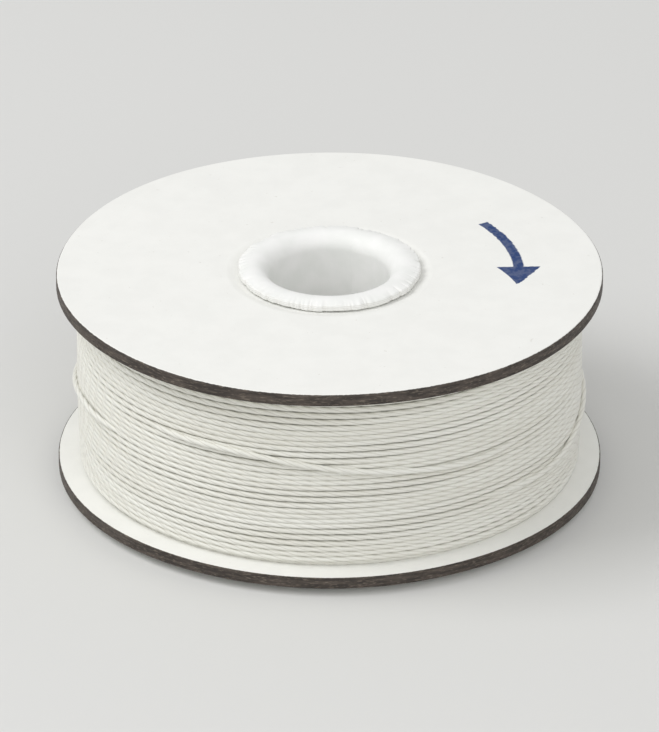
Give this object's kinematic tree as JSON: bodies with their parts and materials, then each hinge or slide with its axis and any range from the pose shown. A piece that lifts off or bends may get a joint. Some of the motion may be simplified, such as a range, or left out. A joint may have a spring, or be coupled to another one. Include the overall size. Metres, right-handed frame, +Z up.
{
  "type": "sewing machine bobbin",
  "caption": "Round paper-sided bobbin, ready wound with thread: flat board sides held by the rolled lips of a paper core, whose through bore turns on the stud of a sewing machine's bobbin case.",
  "frame": {"origin": "centre of the bore on the surface that the bobbin stands on, in the plane of the lower lip's crest", "axes": "+Z up along the bore; the bobbin is a body of revolution and the same either way up, so X and Y are free"},
  "size_m": [0.026, 0.026, 0.011],
  "materials": {
    "core_paper": "white paper, matt, with fine creases where its ends are rolled over",
    "side_board": "white coated board, matt, with a darker grey-brown cut edge and one small blue printed mark",
    "thread": "natural white twisted sewing thread with a soft sheen"
  },
  "bodies": {
    "root": {"paper_core": "core_paper", "upper_side": "side_board", "lower_side": "side_board", "thread_winding": "thread"}
  },
  "joints": []
}
